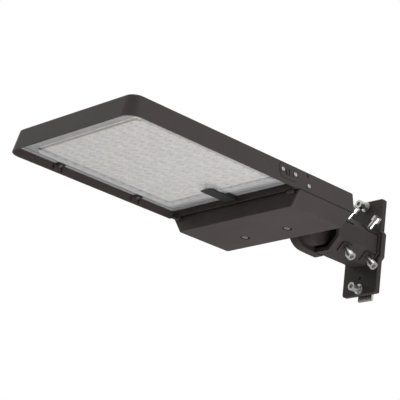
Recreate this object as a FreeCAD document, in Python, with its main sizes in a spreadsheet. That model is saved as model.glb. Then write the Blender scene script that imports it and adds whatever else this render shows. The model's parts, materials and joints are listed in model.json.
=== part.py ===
import FreeCAD, Part
import os
import re

import Sketcher

# A shoebox area light on a tilting arm mount, in millimetres.
# +X runs out from the pole to the front lip, +Z is up and +Y is the side that faces the
# reader. The origin is the centre of the wire bore on the back of the pole plate.

V = FreeCAD.Vector
doc = FreeCAD.newDocument("AreaLight")
sheet = doc.addObject("Spreadsheet::Sheet", "Sizes")
aliases = []
nodes = {}


# ---------------------------------------------------------------- sizes

# Each size is in millimetres and is set by itself.
pole_mount_sizes = {
    "plateThick": 10,  # pole plate, thickness
    "plateWidth": 84,  # pole plate, width
    "plateHeight": 186,  # pole plate, height
    "plateCorner": 5,  # pole plate, corner radius
    "bumpOut": 5.5,  # how far the plate swells out beside the stub
    "bumpHalf": 23,  # half height of that swelling
    "stubFlangeFlats": 84,  # eight-sided foot of the stub, across flats
    "stubFlangeThick": 3,  # eight-sided foot of the stub, thickness
    "stubRadius": 30.15,  # stub for a 60.3 mm slipfitter
    "stubBore": 24,  # wire bore through stub and plate, radius
    "stubEnd": 91,  # X of the stub's free end
    "poleBoltPitch": 164,  # spacing of the two pole bolts
    "poleBoltHole": 5.5,  # hole radius for a pole bolt
    "drainHole": 2.5,  # small hole in the plate, radius
    "drainDrop": 60,  # its depth below the stub's axis
    "gasketThick": 3,  # pole gasket, thickness
    "gasketInset": 2,  # pole gasket, how far inside the plate's outline
    "nutPlateWidth": 34,  # nut plate inside the pole, width
    "nutPlateHeight": 36,  # nut plate inside the pole, height
    "nutPlateThick": 5,  # nut plate inside the pole, thickness
    "poleWall": 5,  # room for the pole's wall
}
fastener_sizes = {
    "boltRadius": 5,  # M10 shank radius
    "boltHead": 8,  # M10 socket head radius
    "boltHeadHigh": 10,  # M10 socket head height
    "boltSocket": 4,  # half the hexagon key size of M10
    "boltSocketDeep": 5,  # depth of that socket
    "poleBoltHeadX": 22,  # X under a pole bolt's head, as loosely fitted
    "poleBoltEnd": 27,  # how far a pole bolt reaches behind the plate
    "washerRadius": 10,  # M10 flat washer, outer radius
    "washerThick": 2,  # M10 flat washer, thickness
    "springWasherRadius": 8.6,  # M10 spring washer, outer radius
    "springWasherThick": 2.4,  # M10 spring washer, thickness
    "nutFlats": 8.5,  # half the M10 nut across flats
    "nutHigh": 8,  # M10 nut height
    "threadGap": 0.05,  # gap between a thread and its hole
}
slipfitter_sizes = {
    "bodyFlats": 78,  # slipfitter body, across its eight flats
    "bodyGap": 0.5,  # gap from the stub's foot to the body
    "bodyEnd": 118,  # X of the body's open front end
    "clampGap": 0.35,  # radial gap, stub to slipfitter bore
    "boreEnd": 93,  # X where the stub's bore ends
    "frontPocket": 101,  # X where the hollow for the knuckle starts
    "wireHole": 12,  # wire hole between the two hollows, radius
    "pocketHigh": 31.5,  # half height of the hollow for the knuckle
    "bodyWall": 7,  # wall beside the hollow for the knuckle
    "padHigh": 42,  # distance of a screw pad's face from the axis
    "padWide": 22,  # screw pad, width across the facet
    "padLong": 26,  # screw pad, length along the body
    "rearScrewX": 27,  # X of the rear pair of set screws
    "screwPitch": 61,  # spacing of the two pairs of set screws
    "setHeadFrom": 58,  # distance from the axis to under a set screw's head
    "pivotX": 135,  # X of the tilt axis
    "earRadius": 38,  # slipfitter's ear, radius
    "earThick": 20,  # slipfitter's ear, thickness
    "seamY": -19,  # Y where the two toothed discs meet
    "teeth": 48,  # teeth of each disc
    "toothWide": 2.1,  # tooth width at its root
    "toothHigh": 1.1,  # tooth height
    "toothGap": 0.12,  # clearance between meshed teeth
    "toothInner": 19,  # inner radius of the ring of teeth
}
arm_sizes = {
    "discRadius": 31,  # head arm's disc, radius
    "discThick": 24,  # head arm's disc, thickness
    "discGap": 0.3,  # gap between the two disc faces
    "neckHalf": 15,  # half height of the arm's neck
    "tiltRadius": 6,  # M12 tilt bolt, shank radius
    "tiltRun": 0.06,  # radial gap of the tilt bolt in the arm
    "tiltHead": 9,  # M12 head radius
    "tiltHeadHigh": 12,  # M12 head height
    "counterGap": 0.5,  # gap round the head in its counterbore
    "tiltWasher": 12,  # M12 washer radius
    "tiltWasherThick": 2.5,  # M12 washer thickness
    "tiltNutFlats": 9.5,  # half the M12 nut across flats
    "tiltNutHigh": 10,  # M12 nut height
    "flangeWide": 90,  # arm's flange, width
    "flangeLow": -18,  # arm's flange, lower edge
    "flangeTop": 11,  # arm's flange, upper edge
    "flangeThick": 7,  # arm's flange, thickness
    "armGasket": 1.5,  # gasket between flange and housing
    "armBoltRadius": 3,  # M6 flange bolt, shank radius
    "armBoltHead": 5,  # M6 flange bolt, head radius
    "armBoltHeadHigh": 6,  # M6 flange bolt, head height
    "armBoltPitchY": 66,  # flange bolts, spacing across
    "armBoltPitchZ": 17,  # flange bolts, spacing up
    "armBoltGrip": 7,  # flange bolt's length in the housing
    "armWeb": 4,  # thickness of the web beside the neck
    "armWire": 5,  # wire bore in the arm, radius
}
housing_sizes = {
    "rearX": 210,  # X of the housing's rear wall
    "headLength": 519,  # rear wall to front lip
    "headWidth": 325,  # width over the lower rim
    "headCorner": 27,  # front corner radius at the lower rim
    "rearCorner": 4,  # rear corner radius
    "rimZ": -24,  # Z of the lower rim
    "topZ": 15,  # Z of the top
    "topBevel": 1.2,  # bevel of the upper edge
    "draft": 8.3,  # how far the sides lean in from rim to top
    "lip": 3.5,  # thickness of the lower rim
    "ledgeZ": -8,  # Z of the ledge that the lens seats on
    "seamZ": -22,  # Z of the driver chamber's lower edge
    "wall": 4,  # housing wall
    "roof": 3,  # roof over the driver chamber
    "chamberFront": 349.5,  # X of the chamber's front
    "lipFront": 354,  # X of the lens recess's rear end
    "bayFront": 382,  # X where the wiring bay ends
    "bayFloor": -4,  # Z of the wiring bay's floor
    "boardPocket": 3,  # depth of the pocket for the LED board
    "finRear": 396,  # X where the fins start
    "finLipGap": 23,  # fins' front end to the front lip
    "finSideGap": 24.5,  # fin recess's side to the lower rim
    "finFloor": -1,  # Z of the fin recess's floor
    "finDrop": 1,  # how far the fins stay below the top
    "finCount": 15,  # number of fins
    "finThick": 2.6,  # fin thickness
    "finPitch": 18,  # fin spacing
    "postX": 264,  # X of the two cover screws
    "postSpan": 106,  # spacing of the two cover screws
    "postRadius": 6.5,  # screw post radius
    "portX": 376,  # X of the side port
    "portZ": -1.5,  # Z of the side port
    "portHalfLong": 21,  # side port cover, half length
    "portHalfHigh": 14,  # side port cover, half height
    "portThick": 2.5,  # side port cover, thickness
    "portBoss": 1.6,  # height of the slotted boss on the port cover
    "portSink": 2,  # depth of its recess
    "portGap": 0.6,  # gap round it
    "portScrewSpan": 30,  # spacing of its two screws
    "portHole": 8,  # side port, hole radius
    "portHoleDeep": 14,  # side port, depth of the hole into the wiring bay
    "sideScrewX": 328,  # X of the single side screws
    "sideScrewZ": -12,  # Z of the single side screws
    "smallScrew": 2,  # small screw, shank radius
    "smallHead": 3.6,  # small screw, head radius
    "smallHeadHigh": 2,  # small screw, head height
}
cover_sizes = {
    "coverTop": -23.2,  # Z of the driver cover's upper edge
    "coverLow": -50,  # Z of the driver cover's underside
    "coverWall": 2.5,  # driver cover, wall
    "coverRearTop": 211.5,  # X of its rear wall at the upper edge
    "coverRearLow": 222,  # X of its rear wall at the underside
    "coverFrontTop": 347.5,  # X of its front wall at the upper edge
    "coverFrontLow": 346,  # X of its front wall at the underside
    "coverSideGap": 2.5,  # cover's upper edge to the housing's side
    "coverSideLean": 18,  # how far the cover's sides lean in
    "coverCorner": 5,  # driver cover, corner radius
    "coverRound": 1.6,  # driver cover, rounding of the lower edges
    "sealInset": 0.5,  # cover seal, how far inside the upper edge
    "sealWide": 2.4,  # cover seal, width
    "wellRadius": 9,  # recess round a cover screw, radius
    "wellDeep": 3,  # recess round a cover screw, depth
    "wellBoss": 12,  # boss over that recess, radius
    "captiveRadius": 2.4,  # cover screw, shank radius
    "captiveHead": 5.5,  # cover screw, head radius
    "captiveHeadHigh": 2.6,  # cover screw, head height
    "captiveGrip": 8,  # cover screw's length in the housing
    "screwRun": 0.1,  # gap of a cover screw in the housing
    "hingeX": 351.5,  # X of the cover's hinge
    "hingeZ": -25.5,  # Z of the cover's hinge
    "knuckle": 3.1,  # hinge knuckle radius
    "pinRadius": 1.5,  # hinge pin radius
    "pinRun": 0.06,  # gap of the hinge pin in the cover
    "lugSideGap": 26.5,  # inner face of a hinge lug to the housing's side
    "lugWide": 6,  # width of each hinge lug
    "lugGap": 0.4,  # gap between two hinge lugs
}
optics_sizes = {
    "lensGap": 0.8,  # gap from the lens flange to the rim
    "lensFlange": 2,  # lens flange thickness
    "lensSeal": 1,  # lens gasket thickness
    "lensSealInset": 3,  # lens gasket, how far inside the lens flange
    "lensSealWide": 6,  # lens gasket width
    "trayRear": 383,  # X of the raised lens field's rear edge
    "trayLipGap": 39,  # raised lens field's front edge to the front lip
    "traySideGap": 28.5,  # raised lens field's side to the lower rim
    "trayBevel": 10,  # bevel of its front corners
    "trayZ": -15.4,  # Z of the raised lens field's face
    "lensWall": 2,  # lens wall
    "ledPitch": 21.05,  # spacing of the LEDs
    "ledColumns": 14,  # LEDs along the head
    "ledRows": 12,  # LEDs across the head
    "ledFirstX": 397.6,  # X of the rearmost LEDs
    "domeFoot": 7.6,  # lens dome, radius at its foot
    "domeTop": 4.6,  # lens dome, radius at its flat top
    "domeHigh": 1.5,  # lens dome height
    "boardGap": 1.5,  # gap round the LED board in its pocket
    "boardThick": 1.6,  # LED board thickness
    "chipSide": 3.4,  # LED, side
    "chipHigh": 0.8,  # LED, height
    "clipRearX": 444,  # X of the rear pair of lens clips
    "clipPitch": 177.6,  # spacing of the two pairs of lens clips
    "clipWide": 14,  # lens clip, width
    "clipReach": 10,  # lens clip, how far it reaches over the flange
    "clipThick": 3,  # lens clip, thickness
    "tabWide": 26,  # wiring cover over the lens's rear edge, width
    "tabFront": 417,  # X of its front edge
    "tabThick": 2.2,  # wiring cover thickness
}
gear_sizes = {
    "driverRear": 280,  # X of the driver's rear side
    "driverWide": 61,  # driver, width along X
    "driverLong": 210,  # driver, length across the head
    "driverHigh": 34,  # driver height
    "driverEar": 12,  # driver's fixing ear, length
    "driverEarThick": 2,  # driver's fixing ear, thickness
    "surgeX": 236,  # X of the surge protector
    "surgeY": 92,  # Y of the surge protector
    "surgeWide": 32,  # surge protector, width
    "surgeLong": 46,  # surge protector, length
    "surgeHigh": 24,  # surge protector, height
    "blockX": 236,  # X of the terminal block
    "blockY": -84,  # Y of the terminal block
    "blockWide": 22,  # terminal block, width
    "blockLong": 50,  # terminal block, length
    "blockHigh": 18,  # terminal block, height
    "blockWays": 5,  # terminal block, number of ways
}
# Places that follow from the sizes above.
worked_out = {
    "finFront": "=rearX + headLength - finLipGap",
    "finSide": "=headWidth / 2 - finSideGap",
    "trayFront": "=rearX + headLength - trayLipGap",
    "trayHalf": "=headWidth / 2 - traySideGap",
    "coverHalfTop": "=headWidth / 2 - coverSideGap",
    "coverHalfLow": "=headWidth / 2 - coverSideGap - coverSideLean",
    "lugInner": "=headWidth / 2 - lugSideGap",
}


def fill_sheet(sizes):
    for alias, number in sizes.items():
        row = len(aliases) + 1
        sheet.set(f"A{row}", alias)
        sheet.set(f"B{row}", str(number))
        sheet.setAlias(f"B{row}", alias)
        aliases.append(alias)


def all_sizes():
    fill_sheet(pole_mount_sizes)
    fill_sheet(fastener_sizes)
    fill_sheet(slipfitter_sizes)
    fill_sheet(arm_sizes)
    fill_sheet(housing_sizes)
    fill_sheet(cover_sizes)
    fill_sheet(optics_sizes)
    fill_sheet(gear_sizes)
    fill_sheet(worked_out)
    doc.recompute()


def bound(text):
    return re.sub(
        r"[A-Za-z]\w*",
        lambda word: "Sizes." + word[0] if word[0] in aliases else word[0],
        str(text),
    )


def value(text):
    return float(sheet.evalExpression(bound(text)))


def bind(thing, prop, text):
    if re.search(r"[A-Za-z]", str(text)):
        thing.setExpression(prop, bound(text))
    else:
        thing.setExpression(prop, f"{text} * 1")


# ---------------------------------------------------------------- sketches

def new_body(name):
    body = doc.addObject("PartDesign::Body", name)
    body.Label = name
    nodes[name] = body
    return body


def sketch(body, name, plane="XY_Plane", offset="0"):
    drawing = body.newObject("Sketcher::SketchObject", name)
    base = next(f for f in body.Origin.OriginFeatures if f.Role == plane)
    drawing.AttachmentSupport = (base, "")
    drawing.MapMode = "FlatFace"
    bind(drawing, ".AttachmentOffset.Base.z", offset)
    return drawing


def measure(drawing, kind, where, text):
    number = value(text)
    if kind in ("DistanceX", "DistanceY") and abs(number) < 1e-9:
        axis = -2 if kind == "DistanceX" else -1
        drawing.addConstraint(Sketcher.Constraint("PointOnObject", where[2], where[3], axis))
        return
    index = drawing.addConstraint(Sketcher.Constraint(kind, *where, number))
    drawing.setExpression(f"Constraints[{index}]", bound(text))


def place_point(drawing, geometry, point, x, y):
    measure(drawing, "DistanceX", (-1, 1, geometry, point), x)
    measure(drawing, "DistanceY", (-1, 1, geometry, point), y)


def polygon(drawing, points):
    spots = [V(value(x), value(y), 0) for x, y in points]
    count = len(spots)
    first = drawing.GeometryCount
    for i in range(count):
        drawing.addGeometry(Part.LineSegment(spots[i], spots[(i + 1) % count]))
    for i in range(count):
        after = first + (i + 1) % count
        drawing.addConstraint(Sketcher.Constraint("Coincident", first + i, 2, after, 1))
    for i in range(count):
        place_point(drawing, first + i, 1, *points[i])


def circle(drawing, x, y, radius):
    spot = V(value(x), value(y), 0)
    index = drawing.addGeometry(Part.Circle(spot, V(0, 0, 1), value(radius)))
    measure(drawing, "Radius", (index,), radius)
    place_point(drawing, index, 3, x, y)


def rounded(drawing, x0, x1, y0, y1, r0, r1=None):
    """A rectangle whose corners at x0 have the radius r0 and those at x1 the radius r1."""
    r1 = r0 if r1 is None else r1
    left, right, low, high = value(x0), value(x1), value(y0), value(y1)
    a, b = value(r0), value(r1)
    first = drawing.GeometryCount
    flat = V(0, 0, 1)
    runs = (
        (V(left + a, low, 0), V(right - b, low, 0)),
        (V(right, low + b, 0), V(right, high - b, 0)),
        (V(right - b, high, 0), V(left + a, high, 0)),
        (V(left, high - a, 0), V(left, low + a, 0)),
    )
    centres = (
        (V(right - b, low + b, 0), b, -90),
        (V(right - b, high - b, 0), b, 0),
        (V(left + a, high - a, 0), a, 90),
        (V(left + a, low + a, 0), a, 180),
    )
    quarter = FreeCAD.Units.Quantity("90 deg").getValueAs("rad").Value
    for (start, end), (centre, radius, turn) in zip(runs, centres):
        drawing.addGeometry(Part.LineSegment(start, end))
        begin = quarter * turn / 90
        disc = Part.Circle(centre, flat, radius)
        drawing.addGeometry(Part.ArcOfCircle(disc, begin, begin + quarter))
    for i in range(4):
        line, arc, after = first + 2 * i, first + 2 * i + 1, first + (2 * i + 2) % 8
        drawing.addConstraint(Sketcher.Constraint("Tangent", line, 2, arc, 1))
        drawing.addConstraint(Sketcher.Constraint("Tangent", arc, 2, after, 1))
    for i, kind in enumerate(("Horizontal", "Vertical", "Horizontal", "Vertical")):
        drawing.addConstraint(Sketcher.Constraint(kind, first + 2 * i))
    drawing.addConstraint(Sketcher.Constraint("Equal", first + 1, first + 3))
    drawing.addConstraint(Sketcher.Constraint("Equal", first + 5, first + 7))
    measure(drawing, "Radius", (first + 1,), r1)
    measure(drawing, "Radius", (first + 5,), r0)
    measure(drawing, "DistanceY", (-1, 1, first, 1), y0)
    measure(drawing, "DistanceX", (-1, 1, first + 2, 1), x1)
    measure(drawing, "DistanceY", (-1, 1, first + 4, 1), y1)
    measure(drawing, "DistanceX", (-1, 1, first + 6, 1), x0)


def rectangle(drawing, x0, x1, y0, y1):
    polygon(drawing, ((x0, y0), (x1, y0), (x1, y1), (x0, y1)))


def octagon(drawing, flats):
    near = f"{flats} / 2"
    side = f"{flats} / 2 * tan(22.5)"
    ring = (
        (near, f"-{side}"), (near, side), (side, near), (f"-{side}", near),
        (f"-{near}", side), (f"-{near}", f"-{side}"), (f"-{side}", f"-{near}"),
        (side, f"-{near}"),
    )
    polygon(drawing, ring)


# ---------------------------------------------------------------- features

def feature(body, kind, drawing, length, flip):
    made = body.newObject(f"PartDesign::{kind}", f"{drawing.Name}_{kind}")
    made.Profile = drawing
    made.Reversed = flip
    bind(made, "Length", length)
    return made


def pad(body, drawing, length, flip=False):
    return feature(body, "Pad", drawing, length, flip)


def pocket(body, drawing, length, flip=False):
    return feature(body, "Pocket", drawing, length, flip)


def loft(body, kind, first, second):
    made = body.newObject(f"PartDesign::{kind}Loft", f"{first.Name}_{kind}Loft")
    made.Profile = first
    made.Sections = [second]
    made.Ruled = True
    return made


def soften(body, kind, edge_test, amount):
    """Rounds or bevels the edges of the body so far that pass edge_test."""
    doc.recompute()
    base = body.Tip
    names = [
        f"Edge{i + 1}" for i, edge in enumerate(base.Shape.Edges) if edge_test(edge)
    ]
    made = body.newObject(f"PartDesign::{kind}", f"{body.Name}_{kind}")
    made.Base = (base, names)
    bind(made, "Radius" if kind == "Fillet" else "Size", amount)
    return made


def lies_at(axis, text):
    """A test for edges that lie in the plane at the given height along one axis."""
    def test(edge):
        low, high = edge.BoundBox.XMin, edge.BoundBox.XMax
        if axis == "Z":
            low, high = edge.BoundBox.ZMin, edge.BoundBox.ZMax
        return abs(low - value(text)) < 1e-4 and abs(high - value(text)) < 1e-4
    return test


# ---------------------------------------------------------------- primitives

def primitive(kind, name, **sizes):
    made = doc.addObject(f"Part::{kind}", name)
    for prop, text in sizes.items():
        bind(made, prop, text)
    return made


def move(thing, x="0", y="0", z="0", along=None):
    """Puts a piece at x, y, z, with its own Z axis turned along a direction."""
    if along is not None:
        thing.Placement = FreeCAD.Placement(V(0, 0, 0), FreeCAD.Rotation(V(0, 0, 1), along))
    for axis, text in (("x", x), ("y", y), ("z", z)):
        bind(thing, f"Placement.Base.{axis}", text)
    return thing


def cylinder(name, radius, height, x="0", y="0", z="0", along=None):
    return move(primitive("Cylinder", name, Radius=radius, Height=height), x, y, z, along)


def hexagon(name, half_flats, height, x="0", y="0", z="0", along=None):
    prism = primitive("Prism", name, Circumradius=f"{half_flats} / cos(30)", Height=height)
    prism.Polygon = 6
    return move(prism, x, y, z, along)


def block(name, x0, x1, y0, y1, z0, z1):
    box = primitive(
        "Box", name, Length=f"({x1}) - ({x0})", Width=f"({y1}) - ({y0})", Height=f"({z1}) - ({z0})"
    )
    return move(box, x0, y0, z0)


def cut(name, base, tool):
    made = doc.addObject("Part::Cut", name)
    made.Base = base
    made.Tool = tool
    return made


def fuse(name, pieces):
    made = doc.addObject("Part::MultiFuse", name)
    made.Shapes = pieces
    return made


def group(name, pieces):
    """Identical pieces kept as separate solids of one node."""
    made = doc.addObject("Part::Compound", name)
    made.Links = pieces
    made.Label = name
    nodes[name] = made
    return made


def single(name, piece):
    piece.Label = name
    nodes[name] = piece
    return piece


def ring(name, outer, inner, height, x="0", y="0", z="0", along=None):
    whole = cylinder(name + "_disc", outer, height)
    hole = cylinder(name + "_hole", inner, f"{height} + 2", z="-1")
    return move(cut(name + "_ring", whole, hole), x, y, z, along)


def socket_screw(name, radius, length, head, head_high, socket, deep, x, y, z, along):
    """Its origin is under the head. The head runs along the direction, the shank against it."""
    shank = cylinder(name + "_shank", radius, f"{length} + 1", z=f"-({length})")
    top = cylinder(name + "_head", head, head_high)
    key = hexagon(name + "_key", socket, f"{deep} + 1", z=f"{head_high} - {deep}")
    solid = fuse(name + "_solid", [shank, top])
    return move(cut(name + "_screw", solid, key), x, y, z, along)


OUT = V(1, 0, 0)
BACK = V(-1, 0, 0)
NEAR = V(0, 1, 0)
FAR = V(0, -1, 0)
DOWN = V(0, 0, -1)


# ---------------------------------------------------------------- pole mount

def plate_outline(drawing, inset="0"):
    """The plate's outline: a rectangle that swells out on both sides beside the stub."""
    side = f"(plateWidth / 2 - {inset})"
    top = f"(plateHeight / 2 - {inset})"
    swell = f"(plateWidth / 2 + bumpOut - {inset})"
    points = []
    for across, up in ((1, -1), (1, 1), (-1, 1), (-1, -1)):
        corner = (f"{across} * {side}", f"{up} * {top}")
        bend = (f"{across} * {side}", f"{up} * (bumpHalf + bumpOut)")
        crest = (f"{across} * {swell}", f"{up} * bumpHalf")
        points += [corner, bend, crest] if across * up < 0 else [crest, bend, corner]
    polygon(drawing, points)


def pole_plate():
    body = new_body("pole_plate")
    outline = sketch(body, "plate_face", "YZ_Plane")
    plate_outline(outline)
    pad(body, outline, "plateThick")
    corner = lambda edge: (
        abs(abs(edge.BoundBox.ZMin) - value("plateHeight / 2")) < 1e-4
        and edge.BoundBox.ZLength < 1e-4
        and edge.BoundBox.YLength < 1e-4
    )
    soften(body, "Fillet", corner, "plateCorner")
    soften(body, "Chamfer", lies_at("X", "plateThick"), "1.2")
    foot = sketch(body, "stub_foot", "YZ_Plane", "plateThick - 0.5")
    octagon(foot, "stubFlangeFlats")
    pad(body, foot, "stubFlangeThick + 0.5")
    stub = sketch(body, "stub", "YZ_Plane", "plateThick")
    circle(stub, "0", "0", "stubRadius")
    pad(body, stub, "stubEnd - plateThick")
    holes = sketch(body, "plate_holes", "YZ_Plane")
    circle(holes, "0", "poleBoltPitch / 2", "poleBoltHole")
    circle(holes, "0", "-poleBoltPitch / 2", "poleBoltHole")
    circle(holes, "0", "-drainDrop", "drainHole")
    pocket(body, holes, "plateThick + 1", True)
    bore = sketch(body, "wire_bore", "YZ_Plane")
    circle(bore, "0", "0", "stubBore")
    pocket(body, bore, "stubEnd + 1", True)


def pole_gasket():
    body = new_body("pole_gasket")
    outline = sketch(body, "gasket_face", "YZ_Plane")
    plate_outline(outline, "gasketInset")
    circle(outline, "0", "0", "stubBore + 2")
    circle(outline, "0", "poleBoltPitch / 2", "poleBoltHole")
    circle(outline, "0", "-poleBoltPitch / 2", "poleBoltHole")
    pad(body, outline, "gasketThick", True)


def pole_fasteners():
    bolts, flats, springs, plates, nuts = [], [], [], [], []
    plate_x = "-(gasketThick + poleWall + nutPlateThick)"
    for name, up in (("upper", "poleBoltPitch / 2"), ("lower", "-poleBoltPitch / 2")):
        bolts.append(socket_screw(
            name + "_pole_bolt", "boltRadius", "poleBoltHeadX + poleBoltEnd", "boltHead",
            "boltHeadHigh", "boltSocket", "boltSocketDeep", "poleBoltHeadX", "0", up, OUT,
        ))
        flats.append(ring(
            name + "_flat_washer", "washerRadius", "boltRadius + 0.25", "washerThick",
            "plateThick", "0", up, OUT,
        ))
        springs.append(ring(
            name + "_spring_washer", "springWasherRadius", "boltRadius + 0.2",
            "springWasherThick", "plateThick + washerThick", "0", up, OUT,
        ))
        wide, tall = "nutPlateWidth / 2", "nutPlateHeight / 2"
        slab = block(
            name + "_nut_slab", plate_x, f"{plate_x} + nutPlateThick", f"-{wide}", wide,
            f"{up} - {tall}", f"{up} + {tall}",
        )
        hole = cylinder(
            name + "_slab_hole", "boltRadius + 0.25", "nutPlateThick + 2",
            f"{plate_x} - 1", "0", up, OUT,
        )
        plates.append(cut(name + "_nut_plate", slab, hole))
        blank = hexagon(name + "_nut_blank", "nutFlats", "nutHigh", plate_x, "0", up, BACK)
        thread = cylinder(
            name + "_nut_thread", "boltRadius + threadGap", "nutHigh + 2",
            f"{plate_x} + 1", "0", up, BACK,
        )
        nuts.append(cut(name + "_pole_nut", blank, thread))
    group("pole_bolts", bolts)
    group("pole_flat_washers", flats)
    group("pole_spring_washers", springs)
    group("pole_nut_plates", plates)
    group("pole_nuts", nuts)


# ---------------------------------------------------------------- slipfitter

def slipfitter_body(body):
    tube = sketch(body, "fitter_tube", "YZ_Plane", "plateThick + stubFlangeThick + bodyGap")
    octagon(tube, "bodyFlats")
    pad(body, tube, "bodyEnd - plateThick - stubFlangeThick - bodyGap")
    ear = sketch(body, "fitter_ear", "XZ_Plane", "-seamY")
    circle(ear, "pivotX", "0", "earRadius")
    pad(body, ear, "earThick")
    bridge = sketch(body, "fitter_bridge", "XZ_Plane", "-seamY")
    polygon(bridge, (
        ("frontPocket - 6", "-bodyFlats / 2"), ("bodyEnd", "-bodyFlats / 2"),
        ("pivotX", "-earRadius"), ("pivotX", "earRadius"),
        ("bodyEnd", "bodyFlats / 2"), ("frontPocket - 6", "bodyFlats / 2"),
    ))
    pad(body, bridge, "earThick")


def screw_pads(body):
    """Raised pads on the two facets that face down and up on the near side."""
    for up in (1, -1):
        for place, where in (("rear", "rearScrewX"), ("front", "rearScrewX + screwPitch")):
            base = sketch(body, f"{place}_pad_{'upper' if up > 0 else 'lower'}", "XY_Plane")
            turn = FreeCAD.Rotation(V(1, 0, 0), -45 * up if up > 0 else -135)
            base.AttachmentOffset = FreeCAD.Placement(V(0, 0, 0), turn)
            low = "padHigh - 8"
            bind(base, ".AttachmentOffset.Base.y", f"({low}) * cos(45)")
            bind(base, ".AttachmentOffset.Base.z", f"{up} * ({low}) * cos(45)")
            rounded(
                base, f"{where} - padLong / 2", f"{where} + padLong / 2",
                "-padWide / 2", "padWide / 2", "3",
            )
            pad(body, base, "8")


def slipfitter_hollows(body):
    bore = sketch(body, "fitter_bore", "YZ_Plane", "boreEnd")
    circle(bore, "0", "0", "stubRadius + clampGap")
    pocket(body, bore, "boreEnd")
    wires = sketch(body, "fitter_wires", "YZ_Plane", "bodyEnd")
    circle(wires, "8", "0", "wireHole")
    pocket(body, wires, "bodyEnd - boreEnd + 1")
    hollow = sketch(body, "fitter_hollow", "YZ_Plane", "bodyEnd + earRadius + 20")
    near, edge = "bodyFlats / 2 - bodyWall", "(bodyFlats / 2 - bodyWall) * tan(22.5)"
    polygon(hollow, (
        ("seamY", "-pocketHigh"), (edge, "-pocketHigh"), (near, f"-{edge}"),
        (near, edge), (edge, "pocketHigh"), ("seamY", "pocketHigh"),
    ))
    pocket(body, hollow, "bodyEnd + earRadius + 20 - frontPocket")
    for up in (1, -1):
        for where in ("rearScrewX", "rearScrewX + screwPitch"):
            name = f"set_hole_{'a' if up > 0 else 'b'}_{where[-1]}"
            hole = sketch(body, name, "XY_Plane")
            turn = FreeCAD.Rotation(V(1, 0, 0), -45 if up > 0 else -135)
            hole.AttachmentOffset = FreeCAD.Placement(V(0, 0, 0), turn)
            bind(hole, ".AttachmentOffset.Base.y", "padHigh * cos(45) + 1")
            bind(hole, ".AttachmentOffset.Base.z", f"{up} * (padHigh * cos(45) + 1)")
            circle(hole, where, "0", "boltRadius + threadGap")
            pocket(body, hole, "padHigh - stubRadius + 6")
    pivot = sketch(body, "fitter_pivot", "XZ_Plane", "-seamY")
    circle(pivot, "pivotX", "0", "tiltRadius + 0.25")
    pocket(body, pivot, "earThick + 1", True)


def slipfitter_teeth(body):
    """Radial ribs round the ear's face, which seat in the grooves of the arm's disc."""
    half = "(toothWide / 2 - toothGap)"
    tooth = sketch(body, "ear_tooth", "YZ_Plane", "pivotX + toothInner")
    polygon(tooth, (
        ("seamY - 0.6", f"-{half}"), ("seamY", f"-{half}"),
        ("seamY + toothHigh - toothGap", "0"),
        ("seamY", half), ("seamY - 0.6", half),
    ))
    rib = pad(body, tooth, "discRadius - toothInner")
    round_pivot(body, rib, "ear_teeth")


def round_pivot(body, original, name):
    """Repeats a tooth round the tilt axis."""
    line = sketch(body, name + "_axis", "XY_Plane")
    index = line.addGeometry(Part.LineSegment(V(value("pivotX"), 0, 0), V(value("pivotX"), 9, 0)))
    place_point(line, index, 1, "pivotX", "0")
    place_point(line, index, 2, "pivotX", "9")
    pattern = body.newObject("PartDesign::PolarPattern", name)
    pattern.Originals = [original]
    pattern.Axis = (line, ["Edge1"])
    pattern.Angle = 360
    bind(pattern, "Occurrences", "teeth")
    body.Tip = pattern


def slipfitter():
    body = new_body("slipfitter")
    slipfitter_body(body)
    screw_pads(body)
    slipfitter_hollows(body)
    slipfitter_teeth(body)


def set_screws():
    screws = []
    for up in (1, -1):
        for place, where in (("rear", "rearScrewX"), ("front", "rearScrewX + screwPitch")):
            screws.append(socket_screw(
                f"{place}_set_{'upper' if up > 0 else 'lower'}", "boltRadius",
                "setHeadFrom - stubRadius - clampGap", "boltHead", "boltHeadHigh",
                "boltSocket", "boltSocketDeep", where, "setHeadFrom * cos(45)",
                f"{up} * setHeadFrom * cos(45)", V(0, 1, up),
            ))
    group("set_screws", screws)


def tilt_fasteners():
    near_face = "seamY + discGap + discThick"
    far_face = "seamY - earThick"
    reach = "discThick + discGap + earThick + tiltWasherThick + tiltNutHigh + 2"
    bolt = socket_screw(
        "tilt_bolt", "tiltRadius", f"{reach} - tiltHeadHigh", "tiltHead", "tiltHeadHigh",
        "5", "6", "pivotX", f"{near_face} - tiltHeadHigh", "0", NEAR,
    )
    single("tilt_bolt", bolt)
    single("tilt_washer", ring(
        "tilt_washer", "tiltWasher", "tiltRadius + 0.25", "tiltWasherThick", "pivotX",
        far_face, "0", FAR,
    ))
    blank = hexagon(
        "tilt_nut_blank", "tiltNutFlats", "tiltNutHigh", "pivotX",
        f"{far_face} - tiltWasherThick", "0", FAR,
    )
    thread = cylinder(
        "tilt_nut_thread", "tiltRadius + threadGap", "tiltNutHigh + 2", "pivotX",
        f"{far_face} - tiltWasherThick + 1", "0", FAR,
    )
    single("tilt_nut", cut("tilt_nut", blank, thread))


# ---------------------------------------------------------------- head arm

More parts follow.
